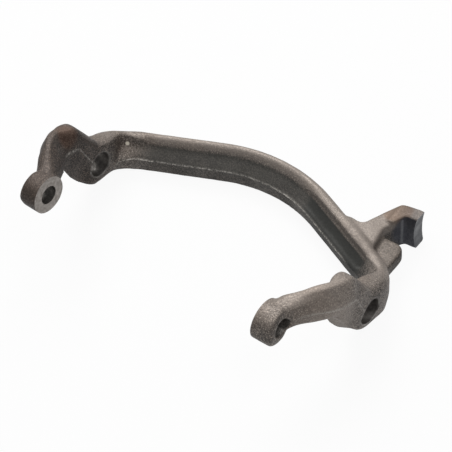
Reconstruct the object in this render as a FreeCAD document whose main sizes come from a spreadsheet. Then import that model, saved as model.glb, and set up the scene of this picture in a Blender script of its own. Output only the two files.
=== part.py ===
import FreeCAD, Part
import math
import os

# A forged swing fork for a gearbox: a flat arch lies level, a pivot boss stands at each end of it,
# and from each boss an arm climbs back over a knee to an eye. A hooked finger stands off the arch's
# right leg. X runs along the pivot axis, Y from that axis towards the arch, Z up; millimetres.
SIZES = {
    # bores
    "pivot_bore": 14.0,
    "pivot_chamfer": 0.8,
    "eye_bore": 10.0,
    "eye_chamfer": 0.4,
    "drill_over": 1.0,
    # pivot bosses
    "boss_gap": 159.0,
    "boss_length": 13.5,
    "boss_radius": 12.2,
    "heel_round": 3.0,
    # eyes
    "eye_gap": 133.0,
    "eye_length": 11.2,
    "eye_radius": 10.0,
    "eye_round": 1.6,
    "eye_back": 49.0,
    "eye_rise": 29.6,
    "eye_step": 0.5,
    "spot_radius": 9.3,
    "spot_depth": 0.4,
    # arch, seen from above
    "arch_reach": 44.5,
    "crown_radius": 73.0,
    "leg_angle": 23.3,
    "corner_radius": 13.0,
    # arch, in section
    "bed_depth": 20.0,
    "parting_depth": 9.0,
    "crest_height": 2.0,
    "crest_inset": 9.4,
    "crease_inset": 6.2,
    "crease_depth": 3.6,
    "crest_round": 3.8,
    "lower_draft": 10.0,
    "flash_height": 0.5,
    "flash_width": 0.9,
    "section_round": 1.2,
    # relief along the right leg
    "relief_lip": 1.5,
    "relief_width": 6.4,
    "relief_depth": 2.6,
    "relief_round": 0.9,
    "relief_fade": 20.0,
    "relief_end": 75.0,
    "relief_lid": 2.5,
    "relief_run": 20.0,
    # neck and arms, seen from the side
    "neck_setback": 5.2,
    "neck_dive": 7.0,
    "neck_reach": 8.0,
    "neck_inset": 5.9,
    "neck_step": 4.0,
    "neck_bend": 5.0,
    "cheek_front": 9.2,
    "cheek_round": 12.0,
    "valley_front": 3.7,
    "valley_rise": 12.3,
    "valley_round": 4.0,
    "knee_back": 9.0,
    "knee_rise": 34.0,
    "knee_round": 7.0,
    "crown_back": 27.0,
    "crown_rise": 41.0,
    "crown_round": 18.0,
    "notch_back": 24.4,
    "notch_drop": 8.9,
    "notch_round": 2.0,
    "heel_back": 18.5,
    "heel_drop": 3.5,
    "heel_bend": 14.0,
    "heel_front": 20.5,
    "heel_flat": 3.0,
    "heel_lift": 0.8,
    "heel_knee": 10.0,
    "wedge_start": 5.3,
    "wedge_over": 4.0,
    "wedge_gap": 0.3,
    "join_front": 9.5,
    # arms, seen from above
    "jog_start": 25.6,
    "jog_end": 45.4,
    "jog_radius": 13.0,
    "arm_over": 4.0,
    "arm_up": 7.4,
    "arm_down": 6.3,
    "throat_start": 8.5,
    "throat_end": 16.0,
    "throat_round": 3.0,
    "throat_blend": 4.0,
    "arm_round": 4.4,
    "tail_round": 4.4,
    "neck_round": 1.5,
    "neck_lead": 1.7,
    "neck_trail": 5.45,
    # finger and its gusset
    "finger_tip": 80.3,
    "finger_reach": 22.1,
    "finger_height": 1.8,
    "finger_round": 1.3,
    "jaw_width": 7.8,
    "jaw_inner": 74.2,
    "jaw_run": 13.5,
    "jaw_slope": 0.5,
    "jaw_back_round": 6.0,
    "hook_round": 2.0,
    "shank_root": 57.5,
    "shank_foot": 3.6,
    "shank_run": 8.0,
    "shank_lean": 69.0,
    "shank_front": 11.5,
    "shank_flare": 3.0,
    "foot_round": 3.0,
    "shank_round": 4.0,
    "gusset_reach": 2.3,
    "gusset_side": 82.6,
    "gusset_start": 61.0,
    "gusset_thickness": 8.2,
    "gusset_corner": 5.0,
    "gusset_round": 1.2,
    "root_sink": 8.0,
}

doc = FreeCAD.newDocument("ShiftFork")
sheet = doc.addObject("Spreadsheet::Sheet", "Sizes")
for row, (alias, value) in enumerate(SIZES.items(), start=1):
    cell = f"A{row}"
    sheet.set(cell, str(value))
    sheet.setAlias(cell, alias)
doc.recompute()


def size(alias):
    return float(sheet.get(alias))


def origin_plane(body, role):
    return next(plane for plane in body.Origin.OriginFeatures if plane.Role == role)


def new_body(name):
    return doc.addObject("PartDesign::Body", name)


def new_sketch(body, name, role):
    sketch = body.newObject("Sketcher::SketchObject", name)
    sketch.AttachmentSupport = [(origin_plane(body, role), "")]
    sketch.MapMode = "FlatFace"
    return sketch


def flat(a, b):
    return FreeCAD.Vector(a, b, 0)


def rounded_outline(sketch, corners):
    # Closed outline through the corners (a, b, radius), each rounded by a tangent arc.
    starts, ends, middles = [], [], []
    count = len(corners)
    for i, (a, b, radius) in enumerate(corners):
        corner = flat(a, b)
        before = flat(*corners[i - 1][:2]) - corner
        after = flat(*corners[(i + 1) % count][:2]) - corner
        before.normalize()
        after.normalize()
        half = before.getAngle(after) / 2
        reach = radius / math.tan(half)
        middle = before + after
        middle.normalize()
        starts.append(corner + before * reach)
        ends.append(corner + after * reach)
        middles.append(corner + middle * (radius / math.sin(half) - radius))
    for i in range(count):
        if corners[i][2] > 0:
            sketch.addGeometry(Part.Arc(starts[i], middles[i], ends[i]), False)
        sketch.addGeometry(Part.LineSegment(ends[i], starts[(i + 1) % count]), False)


def pad(body, name, sketch):
    feature = body.newObject("PartDesign::Pad", name)
    feature.Profile = sketch
    return feature


def fuse(name, parts):
    joined = doc.addObject("Part::MultiFuse", name)
    joined.Shapes = parts
    return joined


def cut(name, base, tool):
    result = doc.addObject("Part::Cut", name)
    result.Base = base
    result.Tool = tool
    return result


def edge_at(shape, x, y, z):
    # Number of the edge that runs nearest to the point.
    point = Part.Vertex(x, y, z)
    gaps = [edge.distToShape(point)[0] for edge in shape.Edges]
    return gaps.index(min(gaps)) + 1


def rounded(name, base, spots):
    # Fillet of the base along the edges at the spots (x, y, z, radius).
    doc.recompute()
    feature = doc.addObject("Part::Fillet", name)
    feature.Base = base
    feature.Edges = [(edge_at(base.Shape, x, y, z), r, r) for x, y, z, r in spots]
    doc.recompute()
    return feature


# Arch: half of it is swept from the crown along one leg and round the corner into the boss, then
# mirrored. The section carries the parting line with its thin flash on the inner side.
turn = math.radians(size("leg_angle"))
leg_x = size("crown_radius") * math.sin(turn)
leg_y = size("arch_reach") - size("crown_radius") * (1 - math.cos(turn))
slope = math.tan(turn)
boss_in = size("boss_gap") / 2
boss_out = boss_in + size("boss_length")
arch_width = size("boss_length")
bed = -size("bed_depth")
parting = -size("parting_depth")
crest = size("crest_height")


def leg_line(x, offset=0.0):
    # Y of the leg's inner parting line, moved outwards by the offset.
    return leg_y - (x - leg_x) * slope + offset / math.cos(turn)


corner_r = size("corner_radius")
corner_x = boss_in - corner_r
corner_y = leg_line(corner_x, -corner_r)
arch = new_body("Arch")
spine = new_sketch(arch, "ArchSpine", "XY_Plane")
spine.setExpression("AttachmentOffset.Base.z", "-Sizes.parting_depth")
crown_centre = flat(0, size("arch_reach") - size("crown_radius"))
crown_middle = crown_centre + flat(math.sin(turn / 2), math.cos(turn / 2)) * size("crown_radius")
corner_centre = flat(corner_x, corner_y)
corner_start = corner_centre + flat(math.sin(turn), math.cos(turn)) * corner_r
half_turn = (turn + math.pi / 2) / 2
corner_middle = corner_centre + flat(math.sin(half_turn), math.cos(half_turn)) * corner_r
spine.addGeometry(Part.Arc(flat(0, size("arch_reach")), crown_middle, flat(leg_x, leg_y)), False)
spine.addGeometry(Part.LineSegment(flat(leg_x, leg_y), corner_start), False)
spine.addGeometry(Part.Arc(corner_start, corner_middle, flat(boss_in, corner_y)), False)

inner = size("arch_reach")
outer = inner + arch_width
lower_inset = (parting - bed) * math.tan(math.radians(size("lower_draft")))
soft = size("section_round")
section = new_sketch(arch, "ArchSection", "YZ_Plane")
rounded_outline(section, [
    (inner - size("flash_height"), parting, 0),
    (inner, parting - size("flash_width") / 2, 0),
    (inner + lower_inset, bed, soft),
    (outer - lower_inset, bed, soft),
    (outer, parting, soft),
    (outer, crest, size("crest_round")),
    (inner + size("crest_inset"), crest, 0),
    (inner + size("crease_inset"), -size("crease_depth"), soft),
    (inner, parting + size("flash_width") / 2, 0),
])
doc.recompute()
arch_half = arch.newObject("PartDesign::AdditivePipe", "ArchHalf")
arch_half.Profile = section
arch_half.Spine = spine
doc.recompute()
arch_whole = arch.newObject("PartDesign::Mirrored", "ArchWhole")
arch_whole.Originals = [arch_half]
arch_whole.MirrorPlane = (origin_plane(arch, "YZ_Plane"), [""])
arch.Tip = arch_whole
doc.recompute()

# The underside rises from the bed towards both bosses: this wedge comes off the arch's ends.
heel_z = -size("boss_radius") + size("wedge_gap")
heel_rise = (heel_z - bed) / (size("heel_front") - size("wedge_start"))
wedge_over = size("wedge_over")
wedge = new_body("HeelWedge")
wedge_outline = new_sketch(wedge, "HeelWedgeOutline", "YZ_Plane")
rounded_outline(wedge_outline, [
    (size("heel_front") + wedge_over, bed - wedge_over * heel_rise, 0),
    (0.0, bed + size("heel_front") * heel_rise, 0),
    (0.0, bed - wedge_over * heel_rise, 0),
])
wedge_pad = pad(wedge, "HeelWedgePad", wedge_outline)
wedge_pad.Midplane = True
wedge_pad.setExpression("Length", "Sizes.boss_gap + 4 * Sizes.boss_length")
doc.recompute()
arch_trimmed = cut("ArchTrimmed", arch, wedge)

# Arm and neck of the right side: the outline seen from above meets the outline seen from the side.
eye_y = -size("eye_back")
eye_z = size("eye_rise")
eye_in = size("eye_gap") / 2
eye_out = eye_in + size("eye_length")
arm_in = eye_in + size("eye_step")
arm_out = eye_out - size("eye_step")
jog_run = size("jog_end") - size("jog_start")
jog_turn = math.atan((boss_in + boss_out - arm_in - arm_out) / 2 / jog_run)
jog_shift = size("boss_length") / 2 * math.tan(jog_turn / 2)
jog_r = size("jog_radius")
arm_end = eye_y - size("arm_over")
neck_x = boss_in - size("neck_reach")
neck_corner = boss_in + size("neck_step")
outer_r = corner_r + arch_width
plan = new_body("ArmPlan")
plan_outline = new_sketch(plan, "ArmPlanOutline", "XY_Plane")
rounded_outline(plan_outline, [
    (neck_x, leg_line(neck_x, size("neck_inset")), 0),
    (neck_corner, leg_line(neck_corner, size("neck_inset")), size("neck_bend")),
    (boss_in, size("cheek_front"), size("cheek_round")),
    (boss_in, -size("jog_start") + jog_shift, jog_r),
    (arm_in, -size("jog_end") + jog_shift, jog_r),
    (arm_in, arm_end, 0),
    (arm_out, arm_end, 0),
    (arm_out, -size("jog_end") - jog_shift, jog_r / 2),
    (boss_out, -size("jog_start") - jog_shift, jog_r),
    (boss_out, leg_line(boss_out, arch_width), outer_r),
    (neck_x, leg_line(neck_x, arch_width), 0),
])
doc.recompute()
plan_pad = pad(plan, "ArmPlanPad", plan_outline)
plan_pad.Midplane = True
plan_pad.setExpression("Length", "4 * Sizes.crown_rise")

side = new_body("ArmSide")
side_outline = new_sketch(side, "ArmSideOutline", "YZ_Plane")
join_y = size("join_front")
neck_front = leg_line(boss_in, arch_width) - size("neck_setback")
neck_slope = (size("valley_rise") - crest) / (neck_front - size("valley_front"))
neck_end = neck_front + size("neck_dive") / neck_slope
rounded_outline(side_outline, [
    (neck_end, parting, 0),
    (neck_end, crest - size("neck_dive"), 0),
    (size("valley_front"), size("valley_rise"), size("valley_round")),
    (-size("knee_back"), size("knee_rise"), size("knee_round")),
    (-size("crown_back"), size("crown_rise"), size("crown_round")),
    (arm_end, eye_z + size("arm_up"), 0),
    (arm_end, eye_z - size("arm_down"), 0),
    (eye_y + size("throat_start"), eye_z - size("arm_down"), size("throat_round")),
    (eye_y + size("throat_end"), eye_z - size("notch_drop"), size("throat_blend")),
    (-size("notch_back"), eye_z - size("notch_drop"), size("notch_round")),
    (-size("heel_back"), -size("heel_drop"), size("heel_bend")),
    (-size("heel_flat"), -size("boss_radius") + size("heel_lift"), size("heel_knee")),
    (join_y, heel_z - (join_y - size("wedge_start")) * heel_rise, 0),
    (join_y, parting, 0),
])
doc.recompute()
side_pad = pad(side, "ArmSidePad", side_outline)
side_pad.setExpression("Length", "Sizes.boss_gap / 2 + 3 * Sizes.boss_length")
doc.recompute()
arm = doc.addObject("Part::Common", "Arm")
arm.Base = plan
arm.Tool = side
doc.recompute()


def eased(y, tail, full, end):
    # Fillet radius at y: full at the knee, tail at the eye, end on the neck.
    to_neck = min(1.0, max(0.0, (y - neck_near) / (neck_far - neck_near)))
    to_eye = min(1.0, max(0.0, (-y - size("jog_start")) / jog_run))
    return full + (end - full) * to_neck + (tail - full) * to_eye


def rim_edges(shape, side, rise, tail, full, end):
    # Edges between one side wall (side -1 inner, +1 outer) and the faces above it (rise 1) or below
    # it (rise -1), each with its radius at both ends.
    found = []
    for i, edge in enumerate(shape.Edges, start=1):
        normals = []
        for face in shape.ancestorsOfType(edge, Part.Face):
            u0, u1, v0, v1 = face.ParameterRange
            normals.append(face.normalAt((u0 + u1) / 2, (v0 + v1) / 2))
        wall = [n for n in normals if abs(n.z) < 1e-6 and n.x * side > 0.1]
        rim = [n for n in normals if abs(n.x) < 1e-6 and n.z * rise > 1e-3]
        if wall and rim:
            ends = [edge.valueAt(edge.FirstParameter).y, edge.valueAt(edge.LastParameter).y]
            if edge.Orientation == "Reversed":
                ends.reverse()
            found.append((i, eased(ends[0], tail, full, end), eased(ends[1], tail, full, end)))
    return found


neck_near = size("valley_front") - size("neck_lead")
neck_far = leg_line(neck_corner, size("neck_inset")) - size("neck_trail")
full = size("arm_round")
low = size("heel_round")
arm_soft = doc.addObject("Part::Fillet", "ArmRounded")
arm_soft.Base = arm
arm_soft.Edges = (
    rim_edges(arm.Shape, -1, 1, size("tail_round"), full, size("neck_round"))
    + rim_edges(arm.Shape, 1, 1, size("tail_round"), full, size("crest_round"))
    + rim_edges(arm.Shape, -1, -1, low, low, low)
    + rim_edges(arm.Shape, 1, -1, low, low, low)
)
doc.recompute()

# Eye of the right side, with rounded rims.
eye = doc.addObject("Part::Cylinder", "Eye")
eye.setExpression("Radius", "Sizes.eye_radius")
eye.setExpression("Height", "Sizes.eye_length")
eye.Placement.Rotation = FreeCAD.Rotation(FreeCAD.Vector(0, 1, 0), 90)
eye.setExpression("Placement.Base.x", "Sizes.eye_gap / 2")
eye.setExpression("Placement.Base.y", "-Sizes.eye_back")
eye.setExpression("Placement.Base.z", "Sizes.eye_rise")
eye_top = eye_z + size("eye_radius")
eye_soft = rounded("EyeRounded", eye, [
    (eye_in, eye_y, eye_top, size("eye_round")),
    (eye_out, eye_y, eye_top, size("eye_round")),
])
right = fuse("RightArm", [arm_soft, eye_soft])
doc.recompute()
left = doc.addObject("Part::Mirroring", "LeftArm")
left.Source = right
left.Normal = FreeCAD.Vector(1, 0, 0)
doc.recompute()

# Finger: a shank leaves the arch's right leg and hooks outwards into a jaw with a flat end face.
finger = new_body("Finger")
finger_outline = new_sketch(finger, "FingerOutline", "XY_Plane")
finger_outline.setExpression("AttachmentOffset.Base.z", "-Sizes.bed_depth")
finger_back = size("arch_reach") + size("finger_reach")
jaw_y = finger_back - size("jaw_width")
foot_x = size("shank_root") - size("shank_run")
front_x = size("shank_lean") + size("shank_flare")
rounded_outline(finger_outline, [
    (foot_x - size("foot_round"), leg_line(foot_x - size("foot_round"), size("root_sink")), 0),
    (foot_x, leg_line(foot_x, arch_width + 1.0), size("foot_round")),
    (size("shank_root"), leg_line(size("shank_root"), arch_width) + size("shank_foot"), size("shank_round")),
    (size("finger_tip") - size("jaw_run"), finger_back - size("jaw_slope"), size("jaw_back_round")),
    (size("finger_tip"), finger_back, 0),
    (size("finger_tip"), jaw_y, 0),
    (size("jaw_inner"), jaw_y - size("jaw_slope"), size("hook_round")),
    (size("shank_lean"), leg_line(size("shank_lean"), arch_width) + size("shank_front"), size("shank_round")),
    (front_x, leg_line(front_x, size("root_sink")), 0),
])
doc.recompute()
finger_pad = pad(finger, "FingerPad", finger_outline)
finger_pad.setExpression("Length", "Sizes.bed_depth + Sizes.finger_height")
doc.recompute()


def top_rim(shape, height, skip_x):
    # Numbers of the edges that lie at the height, but not at the ground face x = skip_x.
    level = [i for i, edge in enumerate(shape.Edges, start=1)
             if abs(edge.BoundBox.ZMin - height) < 1e-4 and abs(edge.BoundBox.ZMax - height) < 1e-4]
    return [i for i in level if shape.Edges[i - 1].BoundBox.XMin < skip_x - 1e-4]


finger_soft = doc.addObject("Part::Fillet", "FingerRounded")
finger_soft.Base = finger
finger_soft.Edges = [(i, size("finger_round"), size("finger_round"))
                     for i in top_rim(finger.Shape, size("finger_height"), size("finger_tip"))]
doc.recompute()

# Gusset: a low block between the finger's shank and the neck.
gusset = new_body("Gusset")
gusset_outline = new_sketch(gusset, "GussetOutline", "XY_Plane")
gusset_outline.setExpression("AttachmentOffset.Base.z", "-Sizes.parting_depth - Sizes.gusset_thickness / 2")
gusset_back = size("arch_reach") + size("gusset_reach")
rounded_outline(gusset_outline, [
    (size("gusset_start"), leg_line(size("gusset_start"), size("root_sink")), 0),
    (size("gusset_start"), gusset_back, 0),
    (size("gusset_side"), gusset_back, size("gusset_corner")),
    (size("gusset_side"), leg_line(size("gusset_side"), size("root_sink")), 0),
])
doc.recompute()
gusset_pad = pad(gusset, "GussetPad", gusset_outline)
gusset_pad.setExpression("Length", "Sizes.gusset_thickness")
doc.recompute()
gusset_top = parting + size("gusset_thickness") / 2
gusset_soft = doc.addObject("Part::Fillet", "GussetRounded")
gusset_soft.Base = gusset
gusset_soft.Edges = [(i, size("gusset_round"), size("gusset_round"))
                     for i in top_rim(gusset.Shape, gusset_top, size("finger_tip") + size("boss_gap"))]
doc.recompute()

# Relief: a shallow trough in the arch's inner slope, on the right leg only.
slope_run = size("crease_inset")
slope_rise = size("parting_depth") - size("crease_depth")
slope_turn = math.atan2(slope_rise, slope_run)
along = flat(math.cos(slope_turn), math.sin(slope_turn))
up = flat(-math.sin(slope_turn), math.cos(slope_turn))
start = flat(0, parting) + along * size("relief_lip")
relief = new_body("Relief")
relief_spine = new_sketch(relief, "ReliefSpine", "XY_Plane")
relief_spine.setExpression("AttachmentOffset.Base.z", "-Sizes.parting_depth")
fade_r = size("relief_fade")
fade_centre = flat(leg_x, leg_y) - flat(math.sin(turn), math.cos(turn)) * fade_r
fade_start = fade_centre + flat(0, fade_r)
fade_middle = fade_centre + flat(math.sin(turn / 2), math.cos(turn / 2)) * fade_r
relief_stop = size("relief_end") - size("relief_width") / 2
relief_spine.addGeometry(Part.LineSegment(fade_start - flat(size("relief_run"), 0), fade_start), False)
relief_spine.addGeometry(Part.Arc(fade_start, fade_middle, flat(leg_x, leg_y)), False)
relief_spine.addGeometry(Part.LineSegment(flat(leg_x, leg_y), flat(relief_stop, leg_line(relief_stop))), False)
relief_section = new_sketch(relief, "ReliefSection", "YZ_Plane")
base_y = fade_start.y
floor_near = start - up * size("relief_depth")
floor_far = floor_near + along * size("relief_width")
lid_far = floor_far + up * (size("relief_depth") + size("relief_lid"))
lid_near = start + up * size("relief_lid")
rounded_outline(relief_section, [
    (base_y + lid_near.x, lid_near.y, 0),
    (base_y + floor_near.x, floor_near.y, size("relief_round")),
    (base_y + floor_far.x, floor_far.y, size("relief_round")),
    (base_y + lid_far.x, lid_far.y, 0),
])
relief_section.AttachmentOffset = FreeCAD.Placement(FreeCAD.Vector(0, 0, fade_start.x - size("relief_run")), FreeCAD.Rotation())
doc.recompute()
relief_pipe = relief.newObject("PartDesign::AdditivePipe", "ReliefPipe")
relief_pipe.Profile = relief_section
relief_pipe.Spine = relief_spine
doc.recompute()
relief_cap = doc.addObject("Part::Cylinder", "ReliefCap")
relief_cap.setExpression("Radius", "Sizes.relief_width / 2")
relief_cap.setExpression("Height", "Sizes.relief_depth + Sizes.relief_lid")
cap_foot = start - up * size("relief_depth") + along * (size("relief_width") / 2)
outward = FreeCAD.Vector(math.sin(turn), math.cos(turn), 0)
cap_axis = outward * up.x + FreeCAD.Vector(0, 0, up.y)
cap_base = FreeCAD.Vector(relief_stop, leg_line(relief_stop), 0) + outward * cap_foot.x
relief_cap.Placement = FreeCAD.Placement(
    cap_base + FreeCAD.Vector(0, 0, cap_foot.y),
    FreeCAD.Rotation(FreeCAD.Vector(0, 0, 1), cap_axis),
)
relief_tool = fuse("ReliefTool", [relief, relief_cap])
doc.recompute()

# The forging: arch, arms, finger and gusset grow together; the relief and the machined bores and
# spot faces are taken off last.
blank = fuse("Blank", [arch_trimmed, right, left, finger_soft, gusset_soft])
doc.recompute()
relieved = cut("Relieved", blank, relief_tool)
doc.recompute()


def on_axis(kind, name, x, y, z):
    # Cylinder or cone that starts at the point and runs towards +X.
    tool = doc.addObject(kind, name)
    tool.Placement = FreeCAD.Placement(
        FreeCAD.Vector(x, y, z), FreeCAD.Rotation(FreeCAD.Vector(0, 1, 0), 90))
    return tool


def bore_tools(name, radius, chamfer, ends, runs, y, z):
    # Straight bore between two faces, past them by the runs, with a cone at both mouths.
    drill = on_axis("Part::Cylinder", name, ends[0] - runs[0], y, z)
    drill.Radius = radius
    drill.Height = ends[1] - ends[0] + runs[0] + runs[1]
    mouth_in = on_axis("Part::Cone", name + "In", ends[0], y, z)
    mouth_in.Radius1 = radius + chamfer
    mouth_in.Radius2 = radius
    mouth_in.Height = chamfer
    mouth_out = on_axis("Part::Cone", name + "Out", ends[1] - chamfer, y, z)
    mouth_out.Radius1 = radius
    mouth_out.Radius2 = radius + chamfer
    mouth_out.Height = chamfer
    return [drill, mouth_in, mouth_out]


over = size("drill_over")
through = boss_out - eye_out + over
pivot_r = size("pivot_bore") / 2
eye_r = size("eye_bore") / 2
spot_in = eye_in - over
tools = bore_tools("RightPivot", pivot_r, size("pivot_chamfer"), (boss_in, boss_out), (over, over), 0, 0)
tools += bore_tools("LeftPivot", pivot_r, size("pivot_chamfer"), (-boss_out, -boss_in), (over, over), 0, 0)
tools += bore_tools("RightEyeBore", eye_r, size("eye_chamfer"), (eye_in, eye_out), (over, through), eye_y, eye_z)
tools += bore_tools("LeftEyeBore", eye_r, size("eye_chamfer"), (-eye_out, -eye_in), (through, over), eye_y, eye_z)
for name, start_x in (("RightSpot", spot_in), ("LeftSpot", -spot_in - over - size("spot_depth"))):
    spot = on_axis("Part::Cylinder", name, start_x, eye_y, eye_z)
    spot.Radius = size("spot_radius")
    spot.Height = over + size("spot_depth")
    tools.append(spot)
machining = fuse("Machining", tools)
doc.recompute()
fork = cut("ShiftForkForging", relieved, machining)
doc.recompute()
fork.Label = "shift_fork"
for item in doc.Objects:
    if "Invalid" in item.State or "Error" in item.State:
        raise RuntimeError(f"{item.Label}: {item.State}")
shape = fork.Shape
if shape.isNull() or not shape.isValid() or len(shape.Solids) != 1:
    raise RuntimeError("shift_fork is not one valid solid")
os.makedirs("parts", exist_ok=True)
shape.exportStep("parts/shift_fork.step")
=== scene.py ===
import math

import bpy
from mathutils import Matrix, Vector


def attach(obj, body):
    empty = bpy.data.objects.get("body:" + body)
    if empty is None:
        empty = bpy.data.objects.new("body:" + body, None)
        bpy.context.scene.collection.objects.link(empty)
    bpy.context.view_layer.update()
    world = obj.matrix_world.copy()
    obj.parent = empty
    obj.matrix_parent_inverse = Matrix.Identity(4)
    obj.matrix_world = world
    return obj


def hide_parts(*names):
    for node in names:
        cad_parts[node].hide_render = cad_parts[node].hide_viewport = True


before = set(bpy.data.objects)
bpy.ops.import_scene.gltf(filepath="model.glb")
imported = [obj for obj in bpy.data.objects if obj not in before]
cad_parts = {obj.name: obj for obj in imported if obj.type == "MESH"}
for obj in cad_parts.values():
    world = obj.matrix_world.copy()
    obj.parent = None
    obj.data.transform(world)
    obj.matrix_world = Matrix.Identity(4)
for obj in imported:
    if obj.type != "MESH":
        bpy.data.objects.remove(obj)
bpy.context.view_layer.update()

# Fork: one drop forging in alloy steel, left as it came from the die and the shot blast, with dark
# scale and soft edges where the dies met. Its bores are drilled, its eyes are faced on their inner
# sides, and the end of its finger is ground after hardening. Sizes are in metres.
boss_in, boss_out = 0.0795, 0.0930
pivot_r = 0.0070
eye_in, eye_y, eye_z = 0.0665, -0.0490, 0.0296
eye_r, facing_r = 0.0050, 0.0104
eye_shift = 0.0009
finger_x, finger_y = 0.0803, 0.0627
wheel_x, wheel_z, wheel_r = finger_x + 0.0552, -0.0091, 0.0560
crown_r, crown_y = 0.0730, -0.0285
corner_x, corner_y, corner_r = 0.0665, 0.0082, 0.0130
leg_turn = math.radians(23.3)
leg_x = crown_r * math.sin(leg_turn)
leg_y = crown_y + crown_r * math.cos(leg_turn)
parting_z = -0.0090
relief_start, relief_full = 0.0130, 0.0350


def only(piece):
    bpy.ops.object.select_all(action="DESELECT")
    piece.select_set(True)
    bpy.context.view_layer.objects.active = piece


def x_cylinder(name, radius, x0, x1, y, z, sides=96, radius_end=None):
    # Turned piece between two places on an axis that runs along X.
    if radius_end is None:
        radius_end = radius
    bpy.ops.mesh.primitive_cone_add(
        vertices=sides, radius1=radius, radius2=radius_end, depth=x1 - x0,
        location=((x0 + x1) / 2, y, z), rotation=(0, math.pi / 2, 0))
    made = bpy.context.object
    made.name = name
    return made


def block(name, x0, x1, y0, y1, z0, z1):
    bpy.ops.mesh.primitive_cube_add(
        size=1, location=((x0 + x1) / 2, (y0 + y1) / 2, (z0 + z1) / 2),
        scale=(x1 - x0, y1 - y0, z1 - z0))
    made = bpy.context.object
    made.name = name
    return made


def joined(first, others):
    bpy.ops.object.select_all(action="DESELECT")
    for other in others:
        other.select_set(True)
    first.select_set(True)
    bpy.context.view_layer.objects.active = first
    bpy.ops.object.join()
    return first


def modified(piece, kind, **settings):
    only(piece)
    modifier = piece.modifiers.new(kind.lower(), kind)
    for key, value in settings.items():
        setattr(modifier, key, value)
    bpy.ops.object.modifier_apply(modifier=modifier.name)


def shaved(piece, tool):
    # Machining cut: the tool's volume comes off the piece.
    modified(piece, "BOOLEAN", operation="DIFFERENCE", object=tool, solver="MANIFOLD")
    bpy.data.objects.remove(tool)


def station(run):
    # Place on the arch's inner parting line and the way outwards there; run is the way along the
    # line from the crown, positive to the right.
    side = 1.0 if run >= 0 else -1.0
    way = abs(run)
    crown_run = crown_r * leg_turn
    leg_run = (corner_x + corner_r * math.sin(leg_turn) - leg_x) / math.cos(leg_turn)
    if way <= crown_run:
        turn = way / crown_r
        x, y = crown_r * math.sin(turn), crown_y + crown_r * math.cos(turn)
    elif way <= crown_run + leg_run:
        turn = leg_turn
        x = leg_x + (way - crown_run) * math.cos(turn)
        y = leg_y - (way - crown_run) * math.sin(turn)
    else:
        turn = leg_turn + (way - crown_run - leg_run) / corner_r
        x, y = corner_x + corner_r * math.sin(turn), corner_y + corner_r * math.cos(turn)
    return side * x, y, side * math.sin(turn), math.cos(turn)


def along_arch(name, runs, sections):
    # Closed bar through one section (out, z) at each run along the arch.
    corners, faces = [], []
    count = len(sections[0])
    for run, section in zip(runs, sections):
        x, y, out_x, out_y = station(run)
        corners += [(x + out * out_x, y + out * out_y, z) for out, z in section]
    for i in range(len(runs) - 1):
        for j in range(count):
            a, b = i * count + j, i * count + (j + 1) % count
            faces.append((a, b, b + count, a + count))
    last = (len(runs) - 1) * count
    faces += [tuple(range(count))[::-1], tuple(range(last, last + count))]
    mesh = bpy.data.meshes.new(name)
    mesh.from_pydata(corners, [], faces)
    bar = bpy.data.objects.new(name, mesh)
    bpy.context.scene.collection.objects.link(bar)
    only(bar)
    bpy.ops.object.mode_set(mode="EDIT")
    bpy.ops.mesh.select_all(action="SELECT")
    bpy.ops.mesh.normals_make_consistent(inside=False)
    bpy.ops.object.mode_set(mode="OBJECT")
    return bar


def outward(x, y):
    # Distance from the arch's inner parting line.
    x = abs(x)
    if math.atan2(x, y - crown_y) < leg_turn:
        return math.hypot(x, y - crown_y) - crown_r
    if x > corner_x and math.atan2(x - corner_x, y - corner_y) > leg_turn:
        return math.hypot(x - corner_x, y - corner_y) - corner_r
    return (x - leg_x) * math.sin(leg_turn) + (y - leg_y) * math.cos(leg_turn)


def spaced(start, end, count):
    return [start + (end - start) * i / (count - 1) for i in range(count)]


def eased(value, low, high):
    # 0 at low, 1 at high, smooth between.
    t = min(1.0, max(0.0, (value - low) / (high - low)))
    return t * t * (3 - 2 * t)


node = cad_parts["shift_fork"]
forging = bpy.data.objects.new("fork_forging", node.data.copy())
bpy.context.scene.collection.objects.link(forging)
forging.data.materials.clear()
only(forging)
bpy.ops.object.mode_set(mode="EDIT")
bpy.ops.mesh.select_all(action="SELECT")
bpy.ops.mesh.remove_doubles(threshold=1e-6)
bpy.ops.object.mode_set(mode="OBJECT")

# As forged, the bosses and eyes are solid, the finger is a little long and the arch's inner slope
# is filled out; the voxel skin joins everything, and smoothing gives a die impression's softness.
stock = []
for side in (1, -1):
    near, far = sorted((side * boss_in, side * boss_out))
    stock.append(x_cylinder("boss_stock", pivot_r + 0.0012, near, far, 0, 0))
    near, far = sorted((side * boss_in, side * (boss_in + 0.0060)))
    stock.append(x_cylinder("heel_stock", 0.0116, near, far, 0, 0))
    stock.append(x_cylinder("heel_stock", 0.0112, near, far, -0.0025, 0))
    near, far = sorted((side * (eye_in - 0.0020), side * (eye_in + 0.0050)))
    stock.append(x_cylinder("eye_stock", 0.0101, near, far, eye_y, eye_z))
stock.append(block(
    "finger_stock", finger_x - 0.003, finger_x + 0.003, finger_y - 0.0038, finger_y + 0.0039,
    -0.0198, 0.0018))
runs = spaced(-0.088, 0.088, 97)
slopes = []
for run in runs:
    fill = eased(run, relief_start, relief_full)
    close = eased(run, 0.0710, 0.0770)
    slopes.append([
        (0.0003, parting_z + 0.0002),
        (0.0062 - 0.0022 * close, -0.0034 + 0.0024 * close),
        (0.0076 - 0.0013 * fill, 0.0002 + 0.0004 * fill),
        (0.0100, 0.0019),
        (0.0100, -0.0060),
        (0.0040, -0.0110)])
stock.append(along_arch("slope_stock", runs, slopes))
joined(forging, stock)
modified(forging, "REMESH", mode="VOXEL", voxel_size=0.0007, adaptivity=0.0)
modified(forging, "SMOOTH", factor=0.5, iterations=9)

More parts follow.
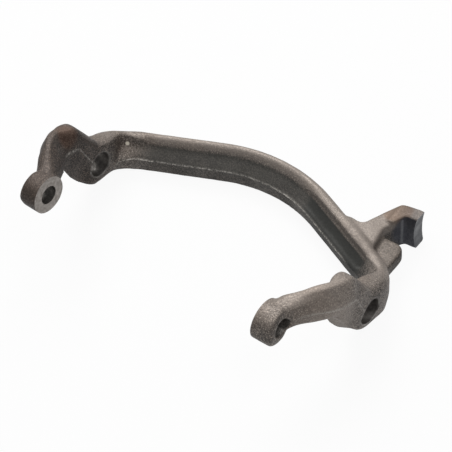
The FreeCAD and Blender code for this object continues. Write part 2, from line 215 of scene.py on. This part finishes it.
# The necks between arch and bosses run together softly, and so does the crest's inner edge.
neck = forging.vertex_groups.new(name="neck")
for vertex in forging.data.vertices:
    x, y, z = vertex.co
    near = eased(abs(x), 0.064, 0.069) * eased(-abs(x), -0.086, -0.081) * eased(y, 0.004, 0.009)
    near *= (
        eased(-y, -0.032, -0.026) * eased(z, -0.017, -0.012)
        * eased(0.0785 - abs(x), -0.004, 0.002 + 0.3 * y))
    if near > 0.01:
        neck.add([vertex.index], near, "REPLACE")
modified(forging, "SMOOTH", factor=0.5, iterations=40, vertex_group="neck")
crest = forging.vertex_groups.new(name="crest")
for vertex in forging.data.vertices:
    x, y, z = vertex.co
    out = outward(x, y)
    if y > 0.018 and z > -0.006 and out < 0.0125:
        inner = 0.0062 + 0.0012 * eased(x, relief_start, relief_full)
        rounding = eased(out, inner - 0.0004, inner + 0.0008) * eased(y, 0.018, 0.024)
        crest.add([vertex.index], rounding, "REPLACE")
modified(forging, "SMOOTH", factor=0.5, iterations=45, vertex_group="crest")
forging.vertex_groups.clear()

# Uneven die surface, a tenth of a millimetre deep.
die_wear = bpy.data.textures.new("die_wear", "CLOUDS")
die_wear.noise_scale = 0.006
die_wear.noise_depth = 2
modified(
    forging, "DISPLACE", texture=die_wear, texture_coords="GLOBAL", strength=0.00022,
    mid_level=0.5)

# Draft of the dies: the flanks of bosses and arms lean in from the parting line, which climbs from
# the arch over the boss to the eye. Each table gives a height or a place for falling keys.
parting_climb = [
    (0.0200, -0.0090), (0.0, 0.0010), (-0.0057, 0.0070), (-0.0120, 0.0225), (-0.0225, 0.0265),
    (-0.0300, 0.0290), (-0.0430, 0.0310), (-0.0650, 0.0296)]
heel_back = [
    (0.0220, -0.0252), (0.0120, -0.0213), (0.0057, -0.0185), (0.0, -0.0152), (-0.0035, -0.0128),
    (-0.0068, -0.0100), (-0.0100, -0.0060)]
arm_middle, arm_bend = 0.08625, 0.01415
arm_half, arm_thinning = 0.00675, 0.00115
draft = math.tan(math.radians(8.0))


def stepped(table, key):
    # Straight runs between the rows of a table whose keys fall.
    if key >= table[0][0]:
        return table[0][1]
    for (k0, v0), (k1, v1) in zip(table, table[1:]):
        if key >= k1:
            return v0 + (v1 - v0) * (key - k0) / (k1 - k0)
    return table[-1][1]


def across_arm(x, y):
    # Place across the arm's thickness, -1 at its inner side to 1 at its outer side.
    middle = arm_middle - arm_bend * eased(-y, 0.0215, 0.0490)
    half = arm_half - arm_thinning * eased(-y, 0.0215, 0.0490)
    return max(-1.0, min(1.0, (abs(x) - middle) / half))


for vertex in forging.data.vertices:
    x, y, z = vertex.co
    side = 1.0 if x >= 0 else -1.0
    if abs(x) > 0.060 and y < 0.018:
        across = across_arm(x, y)
        from_eye = math.hypot(y - eye_y, z - eye_z)
        hold = (1.0 - eased(y, 0.004, 0.018)) * (1.0 - 0.55 * eased(y, -0.014, -0.004))
        if across < 0:
            hold *= eased(from_eye, 0.0105, 0.0170) * (1.0 - 0.6 * eased(y, -0.016, -0.008))
        above = z - stepped(parting_climb, y)
        # The arm narrows to a rounded ridge, and bends inwards a little before the solid does.
        ridge = (
            0.0019 * across * eased(above, 0.002, 0.010) * eased(-y, 0.014, 0.020)
            * eased(y, -0.040, -0.030))
        earlier = arm_bend * (eased(-y, 0.0185, 0.0460) - eased(-y, 0.0215, 0.0490))
        x -= side * (across * draft * abs(above) * hold + ridge + earlier)
        x += eye_shift * eased(-y, 0.036, 0.044)
        if across < 0:
            x += (
                side * 0.0009 * eased(from_eye, 0.0097, 0.0106) * eased(-y, 0.024, 0.036)
                * eased(y, -0.048, -0.044))
        # The heel's back is trimmed to its line.
        line = stepped(heel_back, z) + 0.0015 * across * eased(0.018 - z, 0.0, 0.004)
        if -0.036 < y < line and z < 0.0225:
            y += (line - y) * (1.0 - eased(z, 0.0195, 0.0225))
    # The crest falls away towards its outer edge.
    out = outward(x, y)
    if y > 0.006 and out > 0.0088 and z > -0.006 and abs(x) < 0.094:
        edge = min(1.0, (out - 0.0088) / 0.0047)
        z -= 0.0018 * edge * edge * eased(z, -0.006, 0.0)
    # The finger rises towards its tip, and its shank stands back from the jaw.
    if x > 0.066 and y > 0.052:
        rise = 0.0012 * eased(x, 0.0660, 0.0685) + 0.0014 * eased(x, 0.068, 0.076)
        z += eased(z, -0.008, 0.001) * rise
        if y < 0.0605 and -0.019 < z < 0.0:
            y += 0.0009 * eased(0.0732 - x, 0.0, 0.0006) * eased(0.0605 - y, 0.0, 0.001)
    vertex.co = (x, y, z)

# Relief down the right leg: a flat channel that sinks in from the crown and ends round at the neck.
slope = 0.871
into_s, into_z = 0.656, -0.755
runs = (
    spaced(relief_start, 0.0330, 12) + spaced(relief_full, 0.0700, 15)
    + spaced(0.0712, 0.0752, 8))
channel = []
for run in runs:
    depth = 0.0010 * eased(run, relief_start, relief_full)
    narrow = math.sqrt(max(0.0, 1.0 - (max(0.0, run - 0.0708) / 0.0046) ** 2))
    near_s, far_s = 0.0042 - 0.0024 * narrow, 0.0042 + 0.0023 * narrow
    near_z, far_z = parting_z + slope * near_s, parting_z + slope * far_s
    channel.append([
        (near_s + into_s * depth, near_z + into_z * depth),
        (far_s + into_s * depth, far_z + into_z * depth),
        (far_s + 0.0002, far_z + 0.0070),
        (near_s - into_s * 0.006, near_z - into_z * 0.006)])
shaved(forging, along_arch("channel", runs, channel))

# Flash: the thin ridge that is squeezed out where the dies meet, along the arch's inner side.
runs = spaced(-0.084, 0.066, 110)
flash_ridge = [(-0.0006, parting_z), (0.0012, parting_z + 0.0007), (0.0012, parting_z - 0.0007)]
joined(forging, [along_arch("flash", runs, [flash_ridge] * len(runs))])
modified(forging, "REMESH", mode="VOXEL", voxel_size=0.0006, adaptivity=0.0)
modified(forging, "SMOOTH", factor=0.5, iterations=2)

# Machining: both bores on each axis are drilled in line, the pivot bores' mouths are coned, the
# eyes are faced on their inner sides, and the wheel grinds the finger's end slightly hollow.
drills = joined(
    x_cylinder("pivot_drill", pivot_r, -0.1, 0.1, 0, 0, 128),
    [x_cylinder("eye_drill", eye_r, -0.1, 0.1, eye_y, eye_z)])
shaved(forging, drills)
cuts = []
for side in (1, -1):
    for face, out in ((boss_in, -1), (boss_out, 1)):
        mouth, deep = face + out * 0.0004, face - out * 0.0006
        low, high = sorted((side * mouth, side * deep))
        radii = (pivot_r, pivot_r + 0.0010)
        if low == side * mouth:
            radii = radii[::-1]
        cuts.append(x_cylinder("mouth", radii[0], low, high, 0, 0, 128, radii[1]))
    face = side * eye_in + eye_shift
    low, high = sorted((face, face - side * 0.004))
    cuts.append(x_cylinder("facing", facing_r, low, high, eye_y, eye_z))
bpy.ops.mesh.primitive_cylinder_add(
    vertices=512, radius=wheel_r, depth=0.03, location=(wheel_x, finger_y, wheel_z),
    rotation=(math.pi / 2, 0, 0))
cuts.append(bpy.context.object)
shaved(forging, joined(cuts[0], cuts[1:]))

# Slivers that the cuts leave loose are dropped.
only(forging)
bpy.ops.object.mode_set(mode="EDIT")
bpy.ops.mesh.select_all(action="SELECT")
bpy.ops.mesh.separate(type="LOOSE")
bpy.ops.object.mode_set(mode="OBJECT")
shells = sorted(bpy.context.selected_objects, key=lambda shell: len(shell.data.vertices))
forging = shells.pop()
for shell in shells:
    bpy.data.objects.remove(shell)
forging.name = "fork_forging"
only(forging)
bpy.ops.object.shade_smooth_by_angle(angle=math.radians(38))

# Which skin lies where, for the finish: the flash lines with a painted highlight at the finger's
# shank edge, the painted shade in the hollows and the painted light on the crest.
flash_lines_and_shank_highlight = forging.data.attributes.new("flash", "FLOAT", "POINT")
hollow_painted_shade = forging.data.attributes.new("hollow", "FLOAT", "POINT")
crest_painted_light = forging.data.attributes.new("crest", "FLOAT", "POINT")
shank_edge = 0.0736
for i, vertex in enumerate(forging.data.vertices):
    x, y, z = vertex.co
    out = outward(x, y)
    line = 0.0
    dark = 0.0
    if y > 0.010 and out < 0.0022:
        line = math.exp(-((z - parting_z) / 0.00038) ** 2) * (1.0 - eased(x, 0.056, 0.064))
    # Painted shade on the arch's inner slope, strongest in the channel down the right leg.
    if y > 0.010 and out < 0.0100 and abs(x) < 0.086:
        dark = (1.0 + 0.7 * eased(x, 0.020, 0.034)) * (1.0 - eased(out, 0.0058, 0.0068))
        dark *= (
            (1.0 - 0.35 * (1.0 - eased(z, -0.0100, -0.0085)))
            * (1.0 - eased(abs(x), 0.064, 0.080)))
    if abs(x) > 0.060 and -0.046 < y < 0.006:
        across = across_arm(x, y)
        if abs(across) > 0.72:
            ends = eased(y, -0.026, -0.020) if across < 0 else eased(y, -0.044, -0.036)
            line = ends * math.exp(-((z - stepped(parting_climb, y)) / 0.0007) ** 2)
    # A painted highlight along the rounded edge where the finger's shank meets the jaw.
    if 0.0545 < y < 0.0605 and abs(x - shank_edge) < 0.0012 and -0.018 < z < 0.0:
        line = math.exp(-((x - shank_edge) / 0.0004) ** 2)
    flash_lines_and_shank_highlight.data[i].value = line
    hollow_painted_shade.data[i].value = dark
    # Painted light on the arch's crest, towards its outer edge.
    crest_painted_light.data[i].value = (
        eased(out, 0.0060, 0.0074) * eased(y, 0.012, 0.024) * eased(z, -0.0060, -0.0040)
        * eased(x, -0.076, -0.066))


# Scale on forged steel: brown grey and finely speckled, with painted light on the crest and on what
# faces up, painted shade in the hollows, and temper colours that ran out from the hardened finger.
def finish(name):
    # New material, with its nodes, its shader and the place that patterns follow.
    made = bpy.data.materials.new(name)
    made.use_nodes = True
    tree = made.node_tree
    place = tree.nodes.new("ShaderNodeTexCoord").outputs["Object"]
    return made, tree, tree.nodes["Principled BSDF"], place


def noise(tree, place, scale, detail, rough):
    made = tree.nodes.new("ShaderNodeTexNoise")
    made.inputs["Scale"].default_value = scale
    made.inputs["Detail"].default_value = detail
    made.inputs["Roughness"].default_value = rough
    tree.links.new(place, made.inputs["Vector"])
    return made.outputs["Fac"]


def ramp(tree, value, stops):
    made = tree.nodes.new("ShaderNodeValToRGB")
    elements = made.color_ramp.elements
    while len(elements) < len(stops):
        elements.new(0.5)
    for element, (place, colour) in zip(elements, stops):
        element.position = place
        element.color = (*colour, 1.0)
    tree.links.new(value, made.inputs["Fac"])
    return made.outputs["Color"]


def mixed(tree, mask, under, over, mode="MIX"):
    made = tree.nodes.new("ShaderNodeMix")
    made.data_type = "RGBA"
    made.blend_type = mode
    for name, value in (("Factor", mask), ("A", under), ("B", over)):
        socket = [s for s in made.inputs if s.name == name and s.enabled][0]
        if isinstance(value, tuple):
            socket.default_value = (*value, 1.0)
        else:
            tree.links.new(value, socket)
    return [s for s in made.outputs if s.enabled][0]


def worked(tree, kind, a, b):
    made = tree.nodes.new("ShaderNodeMath")
    made.operation = kind
    for socket, value in zip(made.inputs, (a, b)):
        if isinstance(value, float):
            socket.default_value = value
        else:
            tree.links.new(value, socket)
    return made.outputs[0]


def times(tree, a, b):
    return worked(tree, "MULTIPLY", a, b)


def ranged(tree, value, low, high, to_low=0.0, to_high=1.0):
    made = tree.nodes.new("ShaderNodeMapRange")
    made.interpolation_type = "SMOOTHSTEP"
    for name, number in (
            ("From Min", low), ("From Max", high), ("To Min", to_low), ("To Max", to_high)):
        made.inputs[name].default_value = number
    tree.links.new(value, made.inputs["Value"])
    return made.outputs["Result"]


def named(tree, name):
    made = tree.nodes.new("ShaderNodeAttribute")
    made.attribute_name = name
    return made.outputs["Fac"]


def parts(tree, vector):
    made = tree.nodes.new("ShaderNodeSeparateXYZ")
    tree.links.new(vector, made.inputs[0])
    return made.outputs["X"], made.outputs["Y"], made.outputs["Z"]


def near_place(tree, place, centre, radius):
    # 1 at the centre, 0 beyond the radius.
    gap = tree.nodes.new("ShaderNodeVectorMath")
    gap.operation = "DISTANCE"
    gap.inputs[1].default_value = centre
    tree.links.new(place, gap.inputs[0])
    return ranged(tree, gap.outputs["Value"], 0.0, radius, 1.0, 0.0)


def bumped(tree, shader, height, strength, distance):
    made = tree.nodes.new("ShaderNodeBump")
    made.inputs["Strength"].default_value = strength
    made.inputs["Distance"].default_value = distance
    tree.links.new(height, made.inputs["Height"])
    tree.links.new(made.outputs["Normal"], shader.inputs["Normal"])


forged_scale, tree, shader, place = finish("forged_scale")
along_x, along_y, _ = parts(tree, place)
facing = tree.nodes.new("ShaderNodeNewGeometry").outputs["Normal"]
_, _, facing_up = parts(tree, facing)
speckle = noise(tree, place, 1700.0, 2.0, 0.6)
grain = noise(tree, place, 1100.0, 2.0, 0.6)
cloud = noise(tree, place, 70.0, 4.0, 0.55)
broad = noise(tree, place, 22.0, 2.0, 0.5)

# Pale and dark speckle on a clouded ground, broad brown patches, and painted light that makes
# what faces up paler.
base = ramp(tree, cloud, [
    (0.30, (0.066, 0.057, 0.051)), (0.50, (0.088, 0.077, 0.069)), (0.72, (0.118, 0.103, 0.091))])
base = mixed(tree, ranged(tree, speckle, 0.50, 0.66, 0.0, 0.90), base, (0.360, 0.305, 0.260))
base = mixed(tree, ranged(tree, grain, 0.50, 0.38, 0.0, 0.85), base, (0.026, 0.022, 0.020))
base = mixed(tree, ranged(tree, broad, 0.52, 0.74, 0.0, 0.35), base, (0.140, 0.086, 0.052))
# Painted light: faces that point up are made paler.
base = mixed(tree, ranged(tree, facing_up, 0.30, 0.90, 0.0, 0.28), base, (0.250, 0.212, 0.182))

# Painted shade darkens the left arm, painted light makes the right arm paler in its middle, the
# finger is darker, and painted light makes the crest paler.
left_arm_painted_shade = times(
    tree, ranged(tree, along_x, -0.056, -0.068), ranged(tree, along_y, 0.016, -0.010))
base = mixed(tree, left_arm_painted_shade, base, (0.42, 0.38, 0.36), "MULTIPLY")
right_arm_painted_light = times(
    tree, ranged(tree, along_x, 0.055, 0.070), ranged(tree, along_y, -0.006, -0.020))
right_arm_painted_light = times(tree, right_arm_painted_light, ranged(tree, along_y, -0.050, -0.032, 0.1, 1.0))
base = mixed(tree, times(tree, right_arm_painted_light, 0.40), base, (0.330, 0.280, 0.240))
finger_end = times(
    tree, ranged(tree, along_x, 0.058, 0.068), ranged(tree, along_y, 0.026, 0.036))
base = mixed(tree, finger_end, base, (0.52, 0.50, 0.48), "MULTIPLY")
base = mixed(tree, times(tree, named(tree, "crest"), 0.48), base, (0.250, 0.214, 0.186))

# Painted shade in the hollows of the arch's inner slope and its channel, the flash rubbed bright
# in places, and a painted highlight along the finger's shank edge.
hollow = named(tree, "hollow")
base = mixed(tree, times(tree, hollow, 0.80), base, (0.034, 0.034, 0.031))
flash = named(tree, "flash")
rubbed_flash_and_shank_highlight = times(tree, flash, ranged(tree, grain, 0.40, 0.58, 0.20, 0.85))
base = mixed(tree, rubbed_flash_and_shank_highlight, base, (0.330, 0.310, 0.280))

# Temper colours: straw brown at the finger's root, blue black round its end, and a painted
# highlight along the shank's edge by the jaw.
heat = near_place(tree, place, (0.0690, 0.0600, 0.0020), 0.0115)
base = mixed(tree, ranged(tree, heat, 0.10, 0.42, 0.0, 0.45), base, (0.120, 0.062, 0.028))
quench = near_place(tree, place, (0.0800, 0.0625, -0.0090), 0.0235)
side_on = ranged(tree, facing_up, 0.35, 0.75, 0.92, 0.25)
blued = times(tree, ranged(tree, quench, 0.22, 0.50), side_on)
base = mixed(tree, blued, base, (0.020, 0.022, 0.032))
shank_edge_painted_highlight = times(tree, flash, ranged(tree, quench, 0.22, 0.40, 0.0, 0.50))
base = mixed(tree, shank_edge_painted_highlight, base, (0.190, 0.195, 0.210))

# A bright nick on the left of the crest, and a rust stain on the left knee.
nick = near_place(tree, place, (-0.0797, 0.0216, -0.0026), 0.0022)
base = mixed(tree, ranged(tree, nick, 0.35, 0.60), base, (0.600, 0.550, 0.460))
rust = near_place(tree, place, (-0.0830, -0.0160, 0.0330), 0.0110)
rusted = times(tree, ranged(tree, rust, 0.10, 0.70), 0.30)
base = mixed(tree, rusted, base, (0.120, 0.052, 0.025))
tree.links.new(base, shader.inputs["Base Color"])

dull = ranged(tree, worked(tree, "ADD", grain, cloud), 0.7, 1.3, 0.72, 0.52)
dull = worked(tree, "ADD", dull, times(tree, hollow, 0.12))
tree.links.new(dull, shader.inputs["Roughness"])
shader.inputs["Metallic"].default_value = 0.45
pits = tree.nodes.new("ShaderNodeTexVoronoi")
pits.inputs["Scale"].default_value = 420.0
tree.links.new(place, pits.inputs["Vector"])
height = worked(tree, "ADD", times(tree, speckle, 0.5), grain)
pitted = ranged(tree, pits.outputs["Distance"], 0.0, 0.35, -0.25, 0.0)
bumped(tree, shader, worked(tree, "ADD", height, pitted), 0.55, 0.00022)


# Bore walls and cone mouths: bare steel, left by the drill and the countersink with fine turning
# marks, and stained brown by oil.
def tool_marks(tree, place, way, scale, wander):
    made = tree.nodes.new("ShaderNodeTexWave")
    made.bands_direction = way
    made.inputs["Scale"].default_value = scale
    made.inputs["Distortion"].default_value = wander
    tree.links.new(place, made.inputs["Vector"])
    return made.outputs["Fac"]


bored_steel, tree, shader, place = finish("bored_steel")
stain = noise(tree, place, 240.0, 4.0, 0.6)
base = ramp(tree, stain, [
    (0.32, (0.065, 0.059, 0.054)), (0.55, (0.145, 0.135, 0.125)), (0.78, (0.250, 0.235, 0.220))])
tree.links.new(base, shader.inputs["Base Color"])
tree.links.new(ranged(tree, stain, 0.35, 0.75, 0.58, 0.42), shader.inputs["Roughness"])
shader.inputs["Metallic"].default_value = 0.85
bumped(tree, shader, tool_marks(tree, place, "X", 900.0, 1.5), 0.25, 0.00004)

# Faced rings round the eyes: cut flat by a facing tool, paler than the bores, with a thin brown
# tarnish.
faced_ring, tree, shader, place = finish("faced_ring")
tarnish = noise(tree, place, 520.0, 4.0, 0.6)
base = ramp(tree, tarnish, [
    (0.32, (0.190, 0.166, 0.146)), (0.52, (0.290, 0.260, 0.235)), (0.74, (0.380, 0.345, 0.312))])
tree.links.new(base, shader.inputs["Base Color"])
tree.links.new(ranged(tree, tarnish, 0.35, 0.75, 0.55, 0.40), shader.inputs["Roughness"])
shader.inputs["Metallic"].default_value = 0.10

# Ground end of the finger: slightly hollow from the wheel, blue grey from the hardening, with
# straight grinding lines.
ground_finger_end, tree, shader, place = finish("ground_finger_end")
blue = noise(tree, place, 180.0, 3.0, 0.5)
base = ramp(tree, blue, [
    (0.30, (0.048, 0.050, 0.056)), (0.55, (0.085, 0.088, 0.095)), (0.80, (0.130, 0.133, 0.140))])
tree.links.new(base, shader.inputs["Base Color"])
tree.links.new(ranged(tree, blue, 0.35, 0.75, 0.52, 0.38), shader.inputs["Roughness"])
shader.inputs["Metallic"].default_value = 0.75
bumped(tree, shader, tool_marks(tree, place, "Z", 1100.0, 0.8), 0.2, 0.00003)

# Each finish goes on the faces that its tool cut: a bore's wall and cones lie near its axis, a
# ring in its facing plane, and the ground end on the wheel's rim.
forging.data.materials.clear()
for material in (forged_scale, bored_steel, ground_finger_end, faced_ring):
    forging.data.materials.append(material)
scale_slot, bored_slot, ground_slot, ring_slot = range(4)
on_plane, on_wheel = 0.00005, 0.00004
for face in forging.data.polygons:
    x, y, z = face.center
    face.material_index = scale_slot
    from_pivot = math.hypot(y, z)
    if 0.07 < abs(x) < boss_out + 0.001 and from_pivot < pivot_r + 0.0009:
        face.material_index = bored_slot
    from_eye = math.hypot(y - eye_y, z - eye_z)
    off_plane = min(abs(x - eye_shift - eye_in), abs(x - eye_shift + eye_in))
    tilt = math.hypot(face.normal.y, face.normal.z)
    if from_eye < facing_r + 0.0001 and off_plane < on_plane and tilt < 0.2:
        face.material_index = ring_slot
        face.use_smooth = False
    elif from_eye < eye_r + 0.0001:
        face.material_index = bored_slot
    off_wheel = abs(math.hypot(x - wheel_x, z - wheel_z) - wheel_r)
    if abs(y - finger_y) < 0.006 and off_wheel < on_wheel:
        face.material_index = ground_slot
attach(forging, "root")
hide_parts("shift_fork")

# Floor: a plain white sheet of matt paper that the fork lies on. It shows white to the camera and
# keeps a faint shadow.
bpy.ops.object.select_all(action="DESELECT")
bpy.ops.mesh.primitive_plane_add(size=6.0, location=(0, 0, -0.0202))
floor = bpy.context.object
floor.name = "floor"
paper = bpy.data.materials.new("white_paper")
paper.use_nodes = True
tree = paper.node_tree
tree.nodes.remove(tree.nodes["Principled BSDF"])
matt = tree.nodes.new("ShaderNodeBsdfDiffuse")
matt.inputs["Color"].default_value = (0.50, 0.50, 0.50, 1.0)
glow = tree.nodes.new("ShaderNodeEmission")
glow.inputs["Color"].default_value = (1.0, 1.0, 1.0, 1.0)
glow.inputs["Strength"].default_value = 1.0
rays = tree.nodes.new("ShaderNodeLightPath")
seen = worked(tree, "MAXIMUM", rays.outputs["Is Camera Ray"], rays.outputs["Is Glossy Ray"])
choice = tree.nodes.new("ShaderNodeMixShader")
tree.links.new(times(tree, seen, 0.93), choice.inputs["Fac"])
tree.links.new(matt.outputs[0], choice.inputs[1])
tree.links.new(glow.outputs[0], choice.inputs[2])
tree.links.new(choice.outputs[0], tree.nodes["Material Output"].inputs["Surface"])
floor.data.materials.append(paper)

# Studio light: soft boxes overhead to the right and to the left, a larger and stronger one behind
# the fork, and a pale room that shows white.
world = bpy.data.worlds.new("studio")
bpy.context.scene.world = world
world.use_nodes = True
tree = world.node_tree
room = tree.nodes["Background"]
room.inputs["Color"].default_value = (0.95, 0.97, 1.0, 1.0)
rays = tree.nodes.new("ShaderNodeLightPath")
seen = worked(
    tree, "MAXIMUM", rays.outputs["Is Camera Ray"], rays.outputs["Is Transmission Ray"])
tree.links.new(ranged(tree, seen, 0.0, 1.0, 0.22, 1.0), room.inputs["Strength"])


def soft_box(name, spot, aim, size, power):
    bpy.ops.object.light_add(type="AREA", location=spot)
    lamp = bpy.context.object
    lamp.name = name
    lamp.data.shape = "RECTANGLE"
    lamp.data.size, lamp.data.size_y = size
    lamp.data.energy = power
    lamp.rotation_euler = (Vector(aim) - Vector(spot)).to_track_quat("-Z", "Y").to_euler()


soft_box("key", (0.45, -0.05, 1.00), (0.05, 0.0, 0.0), (0.6, 0.5), 5.0)
soft_box("back", (-0.45, 0.55, 0.90), (0.0, 0.0, 0.0), (0.8, 0.7), 14.0)
soft_box("top", (-0.35, -0.10, 1.00), (0.05, 0.0, 0.0), (0.6, 0.5), 5.0)

# Camera: at the photograph's viewing angle, with a long lens held a little off level. Its three
# directions are its own right and back, and the up that follows from them.
lens = bpy.data.cameras.new("camera")
camera = bpy.data.objects.new("camera", lens)
bpy.context.scene.collection.objects.link(camera)
lens.sensor_width = 36.0
lens.lens = 111.26
lens.clip_start = 0.01
lens.clip_end = 50.0
right = Vector((0.7876, 0.6120, -0.0718)).normalized()
back = Vector((0.4434, -0.4820, 0.7557)).normalized()
up = back.cross(right)
right = up.cross(back)
turned = Matrix((right, up, back)).transposed().to_4x4()
camera.matrix_world = Matrix.Translation((0.3167, -0.3382, 0.5359)) @ turned
bpy.context.scene.camera = camera
bpy.context.scene.view_settings.view_transform = "Standard"
